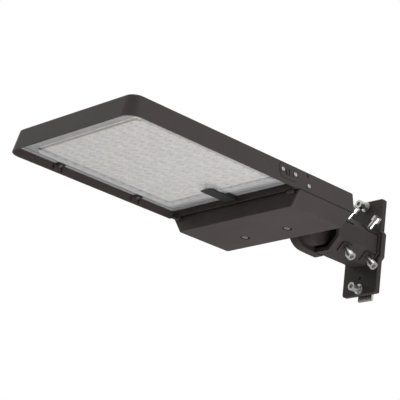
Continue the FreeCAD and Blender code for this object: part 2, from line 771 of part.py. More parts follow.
def knuckle_arm():
    body = new_body("knuckle_arm")
    disc = sketch(body, "arm_disc", "XZ_Plane", "-(seamY + discGap)")
    circle(disc, "pivotX", "0", "discRadius")
    pad(body, disc, "discThick", True)
    neck = sketch(body, "arm_neck", "XZ_Plane", "-(seamY + discGap)")
    back = "rearX - armGasket"
    rectangle(neck, "pivotX", back, "-neckHalf", "neckHalf - 4")
    pad(body, neck, "discThick", True)
    flange = sketch(body, "arm_flange", "YZ_Plane", f"{back} - flangeThick")
    rounded(flange, "-flangeWide / 2", "flangeWide / 2", "flangeLow", "flangeTop", "6")
    pad(body, flange, "flangeThick")
    web = sketch(body, "arm_web", "XY_Plane", "(flangeLow + flangeTop) / 2 - armWeb / 2")
    polygon(web, (
        (f"{back} - flangeThick + 1", "-flangeWide / 2 + 8"),
        (f"{back} - flangeThick + 1", "flangeWide / 2 - 8"),
        ("pivotX + discRadius + 8", "seamY + discGap + discThick"),
        ("pivotX + discRadius + 8", "seamY + discGap"),
    ))
    pad(body, web, "armWeb")
    holes = sketch(body, "arm_holes", "YZ_Plane", f"{back} + 1")
    arm_bolt_circles(holes, "armBoltRadius + 0.25")
    circle(holes, "seamY + discGap + discThick / 2", "-2", "armWire")
    pocket(body, holes, "flangeThick + 2")
    wire = sketch(body, "arm_wire", "YZ_Plane", f"{back} + 1")
    circle(wire, "seamY + discGap + discThick / 2", "-2", "armWire")
    pocket(body, wire, f"{back} - pivotX - discRadius + 4")
    escape = sketch(body, "arm_wire_exit", "XY_Plane", "-2")
    circle(escape, "pivotX + discRadius + 3", "seamY + discGap + discThick / 2", "armWire")
    pocket(body, escape, "neckHalf + 2")
    bolt = sketch(body, "arm_pivot", "XZ_Plane", "-(seamY + discGap)")
    circle(bolt, "pivotX", "0", "tiltRadius + tiltRun")
    pocket(body, bolt, "discThick + 1")
    head = sketch(body, "arm_counterbore", "XZ_Plane", "-(seamY + discGap + discThick)")
    circle(head, "pivotX", "0", "tiltHead + counterGap")
    pocket(body, head, "tiltHeadHigh", True)
    arm_grooves(body)


def arm_bolt_circles(drawing, radius):
    middle = "(flangeLow + flangeTop) / 2"
    for across in (1, -1):
        for up in (1, -1):
            circle(
                drawing, f"{across} * armBoltPitchY / 2",
                f"{middle} + {up} * armBoltPitchZ / 2", radius,
            )


def arm_grooves(body):
    """V grooves in the disc's far face, one for each rib of the slipfitter's ear."""
    face = "seamY + discGap"
    groove = sketch(body, "arm_groove", "YZ_Plane", "pivotX + toothInner - 0.4")
    polygon(groove, (
        (f"{face} - 1", "-toothWide / 2"), (face, "-toothWide / 2"),
        (f"{face} + toothHigh", "0"),
        (face, "toothWide / 2"), (f"{face} - 1", "toothWide / 2"),
    ))
    notch = pocket(body, groove, "discRadius - toothInner + 3", True)
    round_pivot(body, notch, "arm_teeth")


def arm_fasteners():
    body = new_body("arm_gasket")
    face = sketch(body, "arm_gasket_face", "YZ_Plane", "rearX")
    rounded(
        face, "-flangeWide / 2 + 1", "flangeWide / 2 - 1", "flangeLow + 1", "flangeTop - 1", "5"
    )
    arm_bolt_circles(face, "armBoltRadius + 0.25")
    circle(face, "seamY + discGap + discThick / 2", "-2", "armWire + 1")
    pad(body, face, "armGasket", True)
    middle = "(flangeLow + flangeTop) / 2"
    bolts = []
    for across in (1, -1):
        for up in (1, -1):
            bolts.append(socket_screw(
                f"arm_bolt_{'near' if across > 0 else 'far'}_{'upper' if up > 0 else 'lower'}",
                "armBoltRadius", "flangeThick + armGasket + armBoltGrip", "armBoltHead",
                "armBoltHeadHigh", "2.5", "3", "rearX - armGasket - flangeThick",
                f"{across} * armBoltPitchY / 2", f"{middle} + {up} * armBoltPitchZ / 2", BACK,
            ))
    group("arm_bolts", bolts)


# ---------------------------------------------------------------- housing

def lean(z):
    """How far the housing's sides have leaned in at the height z."""
    return f"(draft * (({z}) - rimZ) / (topZ - rimZ))"


def rim_outline(drawing, z, rear, inset, rear_radius):
    """The head's outline at the height z, set in by an even amount."""
    shift = f"({lean(z)} + ({inset}))"
    rounded(
        drawing, rear, f"rearX + headLength - {shift}", f"-(headWidth / 2 - {shift})",
        f"headWidth / 2 - {shift}", rear_radius, f"headCorner - {shift}",
    )


def housing_shell(body):
    low = sketch(body, "rim_low", "XY_Plane", "rimZ")
    rim_outline(low, "rimZ", "rearX", "0", "rearCorner")
    high = sketch(body, "rim_high", "XY_Plane", "topZ - topBevel")
    rim_outline(high, "topZ - topBevel", "rearX", "0", "rearCorner")
    loft(body, "Additive", low, high)
    edge = sketch(body, "edge_low", "XY_Plane", "topZ - topBevel")
    rim_outline(edge, "topZ - topBevel", "rearX", "0", "rearCorner")
    top = sketch(body, "edge_top", "XY_Plane", "topZ")
    rim_outline(top, "topZ", "rearX + topBevel", "topBevel", "rearCorner")
    loft(body, "Additive", edge, top)


def housing_recesses(body):
    low = sketch(body, "recess_low", "XY_Plane", "rimZ")
    rim_outline(low, "rimZ", "lipFront", "lip", "6")
    high = sketch(body, "recess_high", "XY_Plane", "ledgeZ")
    rim_outline(high, "ledgeZ", "lipFront", "lip", "6")
    loft(body, "Subtractive", low, high)
    board = sketch(body, "board_pocket", "XY_Plane", "ledgeZ")
    rounded(
        board, "trayRear + lensWall", "trayFront - lensWall", "-(trayHalf - lensWall)",
        "trayHalf - lensWall", "5",
    )
    pocket(body, board, "boardPocket", True)
    fins = sketch(body, "fin_recess", "XY_Plane", "topZ")
    rounded(fins, "finRear", "finFront", "-finSide", "finSide", "8")
    pocket(body, fins, "topZ - finFloor")


def chamber_outline(drawing, z):
    side = f"headWidth / 2 - {lean(z)} - wall"
    rounded(drawing, "rearX + wall", "chamberFront", f"-({side})", side, "6")


def housing_chamber(body):
    low = sketch(body, "chamber_low", "XY_Plane", "rimZ")
    chamber_outline(low, "rimZ")
    high = sketch(body, "chamber_high", "XY_Plane", "topZ - roof")
    chamber_outline(high, "topZ - roof")
    loft(body, "Subtractive", low, high)
    edge = sketch(body, "chamber_edge", "XY_Plane", "rimZ")
    rectangle(edge, "rearX - 1", "lipFront", "-headWidth / 2 - 1", "headWidth / 2 + 1")
    pocket(body, edge, "seamZ - rimZ", True)
    bay = sketch(body, "wiring_bay", "YZ_Plane", "chamberFront - 2")
    side = f"(headWidth / 2 - {lean('topZ')} - wall - 3)"
    rounded(bay, f"-{side}", side, "bayFloor", "topZ - roof", "3")
    pocket(body, bay, "bayFront - chamberFront + 2", True)


def housing_fins(body):
    first = sketch(body, "fin", "XY_Plane", "finFloor - 0.5")
    half = "(finCount - 1) / 2 * finPitch"
    rectangle(
        first, "finRear - 1", "finFront + 1", f"-{half} - finThick / 2", f"-{half} + finThick / 2"
    )
    fin = pad(body, first, "topZ - finDrop - finFloor + 0.5")
    pattern = body.newObject("PartDesign::LinearPattern", "fins")
    pattern.Originals = [fin]
    pattern.Direction = (first, ["V_Axis"])
    bind(pattern, "Length", "(finCount - 1) * finPitch")
    bind(pattern, "Occurrences", "finCount")
    body.Tip = pattern


def housing_posts(body):
    posts = sketch(body, "posts", "XY_Plane", "seamZ")
    holes = sketch(body, "post_holes", "XY_Plane", "seamZ")
    for across in (1, -1):
        circle(posts, "postX", f"{across} * postSpan / 2", "postRadius")
        circle(holes, "postX", f"{across} * postSpan / 2", "captiveRadius + screwRun")
    pad(body, posts, "topZ - roof - seamZ + 0.5")
    pocket(body, holes, "captiveGrip + 3", True)


def housing_hinge(body):
    """Two lugs that hang below the chamber's front edge and hold the cover's pins."""
    for across in (1, -1):
        name = "near" if across > 0 else "far"
        outer = "-lugInner" if across > 0 else "lugInner"
        lug = sketch(body, f"lug_{name}", "XZ_Plane", outer)
        web = sketch(body, f"lug_web_{name}", "XZ_Plane", outer)
        circle(lug, "hingeX", "hingeZ", "knuckle")
        rectangle(web, "hingeX - 1.8", "lipFront - 0.2", "hingeZ", "seamZ + 1")
        pad(body, lug, "lugWide", across > 0)
        pad(body, web, "lugWide", across > 0)
        hole = sketch(body, f"lug_hole_{name}", "XZ_Plane", outer)
        circle(hole, "hingeX", "hingeZ", "pinRadius + threadGap / 2")
        pocket(body, hole, "lugWide", across < 0)


def housing_rear_holes(body):
    holes = sketch(body, "rear_holes", "YZ_Plane", "rearX - 1")
    arm_bolt_circles(holes, "armBoltRadius + threadGap")
    circle(holes, "seamY + discGap + discThick / 2", "-2", "armWire + 1")
    pocket(body, holes, "wall + 2", True)


def on_side(body, name, across, out="0"):
    """A sketch on the leaning side of the housing: its X is the row's X and its origin lies
    at mid height of the side, moved out by the given amount."""
    drawing = sketch(body, name, "XZ_Plane")
    turn = FreeCAD.Rotation(V(1, 0, 0), value(sideLean) * across)
    drawing.AttachmentOffset = FreeCAD.Placement(V(0, 0, 0), turn)
    bind(drawing, ".AttachmentOffset.Base.y", f"(topZ + rimZ) / 2 + ({out}) * sin({sideLean})")
    bind(
        drawing, ".AttachmentOffset.Base.z",
        f"-{across} * (headWidth / 2 - draft / 2 + ({out}) * cos({sideLean}))",
    )
    return drawing


sideLean = "atan(draft / (topZ - rimZ))"
portUp = "(portZ - (topZ + rimZ) / 2)"
screwUp = "(sideScrewZ - (topZ + rimZ) / 2)"


def oval(drawing, x, y, half_long, half_high, end):
    """A two-bolt flange outline: a disc in the middle and a smaller one at each end."""
    rounded(
        drawing, f"{x} - {half_long}", f"{x} + {half_long}", f"{y} - {half_high}",
        f"{y} + {half_high}", end,
    )


def housing_side(body):
    recess = on_side(body, "port_recess", 1, "3")
    oval(recess, "portX", portUp, "(portHalfLong + portGap)", "(portHalfHigh + portGap)", "11")
    pocket(body, recess, "portSink + 3", True)
    hole = on_side(body, "port_hole", 1)
    circle(hole, "portX", portUp, "portHole")
    pocket(body, hole, "portHoleDeep", True)
    screws = on_side(body, "port_screw_holes", 1)
    for side in (1, -1):
        circle(screws, f"portX + {side} * portScrewSpan / 2", portUp, "smallScrew + threadGap")
    pocket(body, screws, "9", True)
    slot = on_side(body, "side_slot", 1, "1")
    rounded(
        slot, "sideScrewX - 1.5", "sideScrewX + 1.5", f"{screwUp} + 16", f"{screwUp} + 24", "1.2"
    )
    pocket(body, slot, "2.5", True)
    for across in (1, -1):
        name = "near" if across > 0 else "far"
        screw = on_side(body, f"side_screw_hole_{name}", across, "1")
        circle(screw, "sideScrewX", screwUp, "smallScrew + threadGap")
        pocket(body, screw, "9", across > 0)


def housing_clip_ribs(body):
    """Pairs of upright ribs on the rim's inner wall, one pair beside each lens clip."""
    drawing = sketch(body, "clip_ribs", "XY_Plane", "ledgeZ + 1")
    for where in ("clipRearX", "clipRearX + clipPitch"):
        for across in (1, -1):
            for side in (1, -1):
                middle = f"{where} + {side} * (clipWide / 2 + 2.2)"
                inner = f"{across} * (headWidth / 2 - {lean('ledgeZ')} - lip - 0.4)"
                outer = f"{across} * (headWidth / 2 - {lean('ledgeZ')} - 1.2)"
                rectangle(
                    drawing, f"{middle} - 1.2", f"{middle} + 1.2", inner, outer,
                )
    pad(body, drawing, "ledgeZ + 1 - rimZ - 2", True)


def housing():
    body = new_body("housing")
    housing_shell(body)
    housing_recesses(body)
    housing_chamber(body)
    housing_fins(body)
    housing_posts(body)
    housing_hinge(body)
    housing_rear_holes(body)
    housing_side(body)
    housing_clip_ribs(body)
    clip_holes(body, "threadGap")


def side_pieces():
    body = new_body("side_port_cover")
    face = on_side(body, "port_face", 1, "-portSink")
    oval(face, "portX", portUp, "portHalfLong", "portHalfHigh", "10.4")
    for side in (1, -1):
        circle(face, f"portX + {side} * portScrewSpan / 2", portUp, "smallScrew + 0.2")
    pad(body, face, "portThick", True)
    plug = on_side(body, "port_plug", 1, "-portSink")
    circle(plug, "portX", portUp, "6.5")
    pad(body, plug, "portThick + portBoss", True)
    slot = on_side(body, "port_plug_slot", 1, "portThick - portSink + portBoss")
    rectangle(slot, "portX - 1.1", "portX + 1.1", f"{portUp} - 5", f"{portUp} + 5")
    pocket(body, slot, "1.4", True)
    small_screws("side_port_screws", [
        (f"portX + {side} * portScrewSpan / 2", portUp, 1, "portThick - portSink")
        for side in (1, -1)
    ])
    small_screws("side_screws", [
        ("sideScrewX", screwUp, across, "0") for across in (1, -1)
    ])


def small_screws(name, places):
    """Pan-head screws on the leaning sides of the housing."""
    screws = []
    for i, (x, up, across, out) in enumerate(places):
        shank = cylinder(f"{name}_shank_{i}", "smallScrew", "7", z="-6")
        top = cylinder(f"{name}_top_{i}", "smallHead", "smallHeadHigh")
        slot = block(
            f"{name}_slot_{i}", "-0.5", "0.5", "-smallHead - 1", "smallHead + 1",
            "smallHeadHigh - 0.8", "smallHeadHigh + 1",
        )
        solid = fuse(f"{name}_solid_{i}", [shank, top])
        screw = cut(f"{name}_cut_{i}", solid, slot)
        turn = FreeCAD.Rotation(V(1, 0, 0), -across * (90 - value(sideLean)))
        screw.Placement = FreeCAD.Placement(V(0, 0, 0), turn)
        away = f"({out}) * cos({sideLean}) - {up} * sin({sideLean})"
        lift = f"({out}) * sin({sideLean}) + {up} * cos({sideLean})"
        bind(screw, "Placement.Base.x", x)
        bind(screw, "Placement.Base.y", f"{across} * (headWidth / 2 - draft / 2 + {away})")
        bind(screw, "Placement.Base.z", f"(topZ + rimZ) / 2 + {lift}")
        screws.append(screw)
    group(name, screws)


# ---------------------------------------------------------------- driver cover

def cover_outline(drawing, z, inset):
    """The cover's outline at the height z, set in by an even amount."""
    part = f"((coverTop - ({z})) / (coverTop - coverLow))"
    rear = f"(coverRearTop + (coverRearLow - coverRearTop) * {part} + ({inset}))"
    front = f"(coverFrontTop + (coverFrontLow - coverFrontTop) * {part} - ({inset}))"
    side = f"(coverHalfTop + (coverHalfLow - coverHalfTop) * {part} - ({inset}))"
    rounded(drawing, rear, front, f"-{side}", side, f"coverCorner - ({inset}) / 2")


def driver_cover():
    body = new_body("driver_cover")
    top = sketch(body, "cover_top", "XY_Plane", "coverTop")
    cover_outline(top, "coverTop", "0")
    low = sketch(body, "cover_low", "XY_Plane", "coverLow")
    cover_outline(low, "coverLow", "0")
    loft(body, "Additive", top, low)
    soften(body, "Fillet", lies_at("Z", "coverLow"), "coverRound")
    inner = sketch(body, "cover_inner_top", "XY_Plane", "coverTop")
    cover_outline(inner, "coverTop", "coverWall * 1.2")
    floor = sketch(body, "cover_inner_low", "XY_Plane", "coverLow + coverWall")
    cover_outline(floor, "coverLow + coverWall", "coverWall * 1.2")
    loft(body, "Subtractive", inner, floor)
    cover_posts(body)
    cover_hinge(body)


def cover_posts(body):
    boss = sketch(body, "cover_boss", "XY_Plane", "coverLow + 1")
    post = sketch(body, "cover_post", "XY_Plane", "coverLow + 2")
    well = sketch(body, "cover_well", "XY_Plane", "coverLow")
    hole = sketch(body, "cover_hole", "XY_Plane", "coverLow")
    for across in (1, -1):
        spot = ("postX", f"{across} * postSpan / 2")
        circle(boss, *spot, "wellBoss")
        circle(post, *spot, "postRadius")
        circle(well, *spot, "wellRadius")
        circle(hole, *spot, "captiveRadius + 0.3")
    pad(body, boss, "wellDeep + coverWall - 1")
    pad(body, post, "coverTop - coverLow - 2")
    pocket(body, well, "wellDeep", True)
    pocket(body, hole, "coverTop - coverLow + 1", True)


def cover_hinge(body):
    for across in (1, -1):
        name = "near" if across > 0 else "far"
        start = "lugInner + lugWide + lugGap"
        outer = f"-({start})" if across > 0 else start
        lug = sketch(body, f"ear_{name}", "XZ_Plane", outer)
        web = sketch(body, f"ear_web_{name}", "XZ_Plane", outer)
        circle(lug, "hingeX", "hingeZ", "knuckle")
        rectangle(web, "coverFrontTop - 1.5", "hingeX", "hingeZ - knuckle", "hingeZ + 1.6")
        pad(body, lug, "lugWide", across > 0)
        pad(body, web, "lugWide", across > 0)
        hole = sketch(body, f"ear_hole_{name}", "XZ_Plane", outer)
        circle(hole, "hingeX", "hingeZ", "pinRadius + pinRun")
        pocket(body, hole, "lugWide", across < 0)


def cover_pieces():
    body = new_body("cover_seal")
    face = sketch(body, "seal_face", "XY_Plane", "coverTop")
    cover_outline(face, "coverTop", "sealInset")
    cover_outline(face, "coverTop", "sealInset + sealWide")
    pad(body, face, "seamZ - coverTop")
    screws, pins = [], []
    for across in (1, -1):
        name = "near" if across > 0 else "far"
        spot = f"{across} * postSpan / 2"
        reach = "seamZ + captiveGrip - coverLow - wellDeep"
        shank = cylinder(f"{name}_captive_shank", "captiveRadius", f"{reach} + 1", z=f"-({reach})")
        top = cylinder(f"{name}_captive_top", "captiveHead", "captiveHeadHigh")
        slot = block(
            f"{name}_captive_slot", "-0.9", "0.9", "-captiveHead - 1", "captiveHead + 1",
            "captiveHeadHigh - 1.6", "captiveHeadHigh + 1",
        )
        solid = fuse(f"{name}_captive_solid", [shank, top])
        screws.append(move(
            cut(f"{name}_captive", solid, slot), "postX", spot, "coverLow + wellDeep", DOWN
        ))
        start = "lugInner" if across > 0 else "-(lugInner + lugWide * 2 + lugGap)"
        pins.append(cylinder(
            f"{name}_pin", "pinRadius", "lugWide * 2 + lugGap", "hingeX", start, "hingeZ", NEAR
        ))
    group("cover_screws", screws)
    group("cover_hinge_pins", pins)


# ---------------------------------------------------------------- lens and LEDs

def clip_holes(body, room):
    """The clip screws pass through the lens flange and its gasket into the housing."""
    drawing = sketch(body, f"{body.Name}_clip_holes", "XY_Plane", "rimZ")
    under = "ledgeZ - lensSeal - lensFlange"
    wall = f"(headWidth / 2 - {lean(under)} - lip - 1)"
    for where in ("clipRearX", "clipRearX + clipPitch"):
        for across in (1, -1):
            middle = f"{across} * ({wall} - clipReach / 2)"
            circle(drawing, where, middle, f"smallScrew + {room}")
    pocket(body, drawing, "ledgeZ - rimZ + 5", True)


def lens_panel():
    body = new_body("lens_panel")
    top = "ledgeZ - lensSeal"
    flange = sketch(body, "lens_flange", "XY_Plane", top)
    rim_outline(flange, top, "lipFront + lensGap", "lip + lensGap", "6")
    pad(body, flange, "lensFlange", True)
    field = sketch(body, "lens_field", "XY_Plane", f"{top} - lensFlange + 1")
    side, bevel = "trayHalf", "trayBevel"
    polygon(field, (
        ("trayRear", f"-{side}"), (f"trayFront - {bevel}", f"-{side}"),
        ("trayFront", f"-({side} - {bevel})"), ("trayFront", f"{side} - {bevel}"),
        (f"trayFront - {bevel}", side), ("trayRear", side),
    ))
    pad(body, field, f"{top} - lensFlange + 1 - trayZ", True)
    inside = sketch(body, "lens_inside", "XY_Plane", top)
    rounded(
        inside, "trayRear + lensWall", "trayFront - lensWall - 2", "-(trayHalf - lensWall)",
        "trayHalf - lensWall", "5",
    )
    pocket(body, inside, f"{top} - trayZ - lensWall")
    clip_holes(body, "0.3")
    lens_domes(body)


def lens_domes(body):
    low_x, low_y = "ledFirstX", "(-(ledRows - 1) / 2 * ledPitch)"
    foot = sketch(body, "dome_foot", "XY_Plane", "trayZ + 0.4")
    eight_sides(foot, low_x, low_y, "domeFoot")
    tip = sketch(body, "dome_tip", "XY_Plane", "trayZ - domeHigh")
    eight_sides(tip, low_x, low_y, "domeTop")
    dome = loft(body, "Additive", foot, tip)
    led_grid(body, dome, foot, "domes")


def eight_sides(drawing, x, y, radius):
    across, short = f"{radius} * cos(22.5)", f"{radius} * sin(22.5)"
    corners = (
        (across, f"-{short}"), (across, short), (short, across), (f"-{short}", across),
        (f"-{across}", short), (f"-{across}", f"-{short}"), (f"-{short}", f"-{across}"),
        (short, f"-{across}"),
    )
    polygon(drawing, [(f"{x} + {a}", f"{y} + {b}") for a, b in corners])


def led_grid(body, original, drawing, name):
    pattern = body.newObject("PartDesign::LinearPattern", name)
    pattern.Originals = [original]
    pattern.Direction = (drawing, ["H_Axis"])
    pattern.Direction2 = (drawing, ["V_Axis"])
    bind(pattern, "Length", "(ledColumns - 1) * ledPitch")
    bind(pattern, "Occurrences", "ledColumns")
    bind(pattern, "Length2", "(ledRows - 1) * ledPitch")
    bind(pattern, "Occurrences2", "ledRows")
    body.Tip = pattern


def lens_gasket():
    body = new_body("lens_gasket")
    face = sketch(body, "lens_gasket_face", "XY_Plane", "ledgeZ")
    outer = "lip + lensGap + lensSealInset"
    rim_outline(face, "ledgeZ", "lipFront + lensGap + lensSealInset", outer, "5")
    rim_outline(
        face, "ledgeZ", "lipFront + lensGap + lensSealInset + lensSealWide",
        f"{outer} + lensSealWide", "3",
    )
    pad(body, face, "lensSeal", True)
    clip_holes(body, "0.3")


def led_board():
    body = new_body("led_board")
    face = sketch(body, "board_face", "XY_Plane", "ledgeZ + boardPocket")
    rounded(
        face, "trayRear + lensWall + boardGap", "trayFront - lensWall - boardGap",
        "-(trayHalf - lensWall - boardGap)", "trayHalf - lensWall - boardGap", "4",
    )
    pad(body, face, "boardThick", True)
    chips = new_body("led_chips")
    face = sketch(chips, "chip_face", "XY_Plane", "ledgeZ + boardPocket - boardThick")
    half = "chipSide / 2"
    row = "(-(ledRows - 1) / 2 * ledPitch)"
    rectangle(
        face, f"ledFirstX - {half}", f"ledFirstX + {half}", f"{row} - {half}", f"{row} + {half}"
    )
    chip = pad(chips, face, "chipHigh", True)
    led_grid(chips, chip, face, "chips")


def lens_clips():
    clips, screws = [], []
    under = "ledgeZ - lensSeal - lensFlange"
    for place, where in (("rear", "clipRearX"), ("front", "clipRearX + clipPitch")):
        for across in (1, -1):
            name = f"{place}_{'near' if across > 0 else 'far'}"
            wall = f"(headWidth / 2 - {lean(under)} - lip - 1)"
            inner = f"{wall} - clipReach"
            ends = (inner, wall) if across > 0 else (f"-({wall})", f"-({inner})")
            foot = block(
                f"clip_{name}_bar", f"{where} - clipWide / 2", f"{where} + clipWide / 2",
                *ends, f"{under} - clipThick", under,
            )
            middle = f"{across} * ({wall} - clipReach / 2)"
            hole = cylinder(
                f"clip_{name}_hole", "smallScrew + 0.2", "clipThick + 2", where, middle,
                f"{under} + 1", DOWN,
            )
            clips.append(cut(f"clip_{name}", foot, hole))
            screws.append(socket_screw(
                f"clip_{name}", "smallScrew", "clipThick + lensFlange + lensSeal + 4",
                "smallHead", "smallHeadHigh", "1.2", "1.2", where, middle,
                f"{under} - clipThick", DOWN,
            ))
    group("lens_clips", clips)
    group("lens_clip_screws", screws)


def lead_cover():
    """The flat cap over the leads, from the chamber's edge onto the lens field."""
    half = "tabWide / 2"
    under = "ledgeZ - lensSeal - lensFlange"
    cap = block(
        "lead_cap", "lipFront + 0.3", "tabFront", f"-{half}", half,
        "trayZ - tabThick - domeHigh", "trayZ - domeHigh",
    )
    foot = block(
        "lead_foot", "lipFront + 0.3", "trayRear - 0.4", f"-{half}", half,
        "trayZ - domeHigh - 0.5", under,
    )
    single("lead_cover", fuse("lead_cover", [cap, foot]))


# ---------------------------------------------------------------- control gear

def control_gear():
    ceiling = "topZ - roof"
    half = "driverLong / 2"
    case = block(
        "driver_case", "driverRear", "driverRear + driverWide", f"-{half}", half,
        f"{ceiling} - driverHigh", ceiling,
    )
    feet = block(
        "driver_feet", "driverRear + 12", "driverRear + driverWide - 12",
        f"-{half} - driverEar", f"{half} + driverEar", f"{ceiling} - driverEarThick", ceiling,
    )
    solid = fuse("driver_solid", [case, feet])
    middle = "driverRear + driverWide / 2"
    holes, screws = [], []
    for across in (1, -1):
        spot = f"{across} * ({half} + driverEar / 2)"
        name = "near" if across > 0 else "far"
        holes.append(cylinder(
            f"driver_hole_{name}", "smallScrew + 0.2", "driverEarThick + 2", middle, spot,
            f"{ceiling} + 1", DOWN,
        ))
        screws.append(socket_screw(
            f"driver_screw_{name}", "smallScrew", "driverEarThick + 2", "smallHead",
            "smallHeadHigh", "1.2", "1.2", middle, spot, f"{ceiling} - driverEarThick", DOWN,
        ))
    single("driver", cut("driver", solid, fuse("driver_holes", holes)))
    group("driver_screws", screws)
    housing_body = nodes["housing"]
    sockets = sketch(housing_body, "driver_screw_holes", "XY_Plane", f"{ceiling} - 1")
    for across in (1, -1):
        circle(
            sockets, middle, f"{across} * ({half} + driverEar / 2)", "smallScrew + threadGap"
        )
    pocket(housing_body, sockets, "3.2", True)
    single("surge_protector", block(
        "surge_protector", "surgeX - surgeWide / 2", "surgeX + surgeWide / 2",
        "surgeY - surgeLong / 2", "surgeY + surgeLong / 2",
        f"{ceiling} - surgeHigh", ceiling,
    ))
    terminal_block(ceiling)


def terminal_block(ceiling):
    base = block(
        "terminal_base", "blockX - blockWide / 2", "blockX + blockWide / 2",
        "blockY - blockLong / 2", "blockY + blockLong / 2", f"{ceiling} - blockHigh", ceiling,
    )
    ways = int(value("blockWays"))
    wells = []
    for i in range(ways):
        step = f"blockY + blockLong * ({i} + 0.5 - blockWays / 2) / blockWays"
        wells.append(cylinder(
            f"terminal_well_{i}", "2.4", "9", "blockX", step, f"{ceiling} - blockHigh - 1"
        ))
    single("terminal_block", cut("terminal_block", base, fuse("terminal_wells", wells)))


# ---------------------------------------------------------------- build

def check_and_export():
    doc.recompute()
    bad = [
        thing.Name for thing in doc.Objects
        if "Invalid" in thing.State or "Error" in thing.State
    ]
    if bad:
        raise RuntimeError(f"these objects failed: {bad}")
    os.makedirs("parts", exist_ok=True)
    for name, piece in nodes.items():
        shape = piece.Shape
        if shape.isNull() or not shape.isValid() or not shape.Solids:
            raise RuntimeError(f"{name} has no valid solid")
        shape.exportStep(f"parts/{name}.step")
        print(f"{name}: {len(shape.Solids)} solids, {shape.Volume / 1000:.1f} cm3")


all_sizes()
pole_plate()
pole_gasket()
pole_fasteners()
slipfitter()
set_screws()
tilt_fasteners()
knuckle_arm()
arm_fasteners()
housing()
side_pieces()
driver_cover()
cover_pieces()
lens_panel()
lens_gasket()
led_board()
lens_clips()
lead_cover()
control_gear()
check_and_export()
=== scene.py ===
import json
import math

import bmesh
import bpy
from mathutils import Matrix, Vector


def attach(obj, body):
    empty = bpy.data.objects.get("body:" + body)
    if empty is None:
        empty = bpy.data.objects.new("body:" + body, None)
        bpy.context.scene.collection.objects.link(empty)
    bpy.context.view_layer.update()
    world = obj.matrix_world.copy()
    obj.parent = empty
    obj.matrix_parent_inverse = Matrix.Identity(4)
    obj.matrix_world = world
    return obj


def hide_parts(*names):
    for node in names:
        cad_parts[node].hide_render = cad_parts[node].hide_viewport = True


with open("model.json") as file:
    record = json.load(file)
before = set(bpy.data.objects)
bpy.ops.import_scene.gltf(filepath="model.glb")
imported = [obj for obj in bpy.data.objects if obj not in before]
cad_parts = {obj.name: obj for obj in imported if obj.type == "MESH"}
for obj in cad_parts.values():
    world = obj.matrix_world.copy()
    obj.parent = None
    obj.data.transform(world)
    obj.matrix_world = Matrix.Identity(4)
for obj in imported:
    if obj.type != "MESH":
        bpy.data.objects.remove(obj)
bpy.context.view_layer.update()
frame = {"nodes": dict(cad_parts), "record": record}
mm = 0.001
print("frame loaded:", len(frame["nodes"]), "nodes")


# colours and materials

def linear(hexColour):
    values = []
    for i in (0, 2, 4):
        c = int(hexColour[i:i + 2], 16) / 255
        values.append(c / 12.92 if c <= 0.04045 else ((c + 0.055) / 1.055) ** 2.4)
    return (*values, 1)


def addNode(material, kind, links=None, **settings):
    # inputs are given as numbers, colours or other nodes' outputs, by socket name or index
    node = material.node_tree.nodes.new("ShaderNode" + kind)
    for name, value in settings.items():
        setattr(node, name, value)
    for socket, value in (links or {}).items():
        if isinstance(value, bpy.types.NodeSocket):
            material.node_tree.links.new(value, node.inputs[socket])
        else:
            node.inputs[socket].default_value = value
    return node


def newMaterial(name):
    material = bpy.data.materials.new(name)
    material.use_nodes = True
    material.node_tree.nodes.clear()
    return material


def finishMaterial(material, links):
    shader = addNode(material, "BsdfPrincipled", links)
    addNode(material, "OutputMaterial", {"Surface": shader.outputs[0]})
    return material


def grain(material, sizeMm, detail=2.0, roughness=0.5):
    # noise on object coordinates; its features are about sizeMm across
    place = addNode(material, "TexCoord")
    links = {"Vector": place.outputs["Object"], "Scale": 1 / (sizeMm * mm), "Detail": detail,
             "Roughness": roughness}
    return addNode(material, "TexNoise", links)


def between(material, factor, low, high):
    # a number that runs from low to high as the factor goes from 0.3 to 0.7
    links = {"Value": factor, "From Min": 0.3, "From Max": 0.7, "To Min": low, "To Max": high}
    return addNode(material, "MapRange", links).outputs[0]


def blendColours(material, factor, first, second):
    mix = addNode(material, "Mix", data_type="RGBA")
    material.node_tree.links.new(factor, mix.inputs["Factor"])
    mix.inputs["A"].default_value = linear(first)
    mix.inputs["B"].default_value = linear(second)
    return mix.outputs["Result"]


powderCoat = {
    "colour": "3a3132", "cloud": "342c2d", "cloudMm": 70, "peelMm": 1.6, "peelHeight": 0.05,
    "rough": (0.46, 0.56), "castColour": "302829", "castCloud": "2a2323", "castMm": 2.6,
    "castHeight": 0.12, "castRough": (0.5, 0.62), "shine": 0.3,
}


def makeCoat(name, peelMm, peelHeight, rough, colour, cloud):
    # polyester powder coat on die-cast aluminium: an even satin brown with a fine orange peel,
    # drawn somewhat coarser than the real peel so that it shows
    material = newMaterial(name)
    clouds = grain(material, powderCoat["cloudMm"])
    tint = blendColours(material, between(material, clouds.outputs[0], 0, 1), colour, cloud)
    peel = grain(material, peelMm, 3.0)
    bump = addNode(material, "Bump", {
        "Height": peel.outputs[0], "Strength": 0.35, "Distance": peelHeight * mm,
    })
    return finishMaterial(material, {
        "Base Color": tint, "Roughness": between(material, peel.outputs[0], *rough),
        "Normal": bump.outputs[0], "Specular IOR Level": powderCoat["shine"],
    })


def makeZincSteel():
    # bright zinc plated steel: pale grey metal with fine turned lines
    material = newMaterial("brightZincSteel")
    spots = grain(material, 4.0, 4.0)
    tint = blendColours(material, between(material, spots.outputs[0], 0, 1), "c6c6c4", "aeaeac")
    fine = grain(material, 0.35, 2.0)
    bump = addNode(material, "Bump", {
        "Height": fine.outputs[0], "Strength": 0.2, "Distance": 0.02 * mm,
    })
    return finishMaterial(material, {
        "Base Color": tint, "Metallic": 1.0,
        "Roughness": between(material, spots.outputs[0], 0.24, 0.38), "Normal": bump.outputs[0],
    })


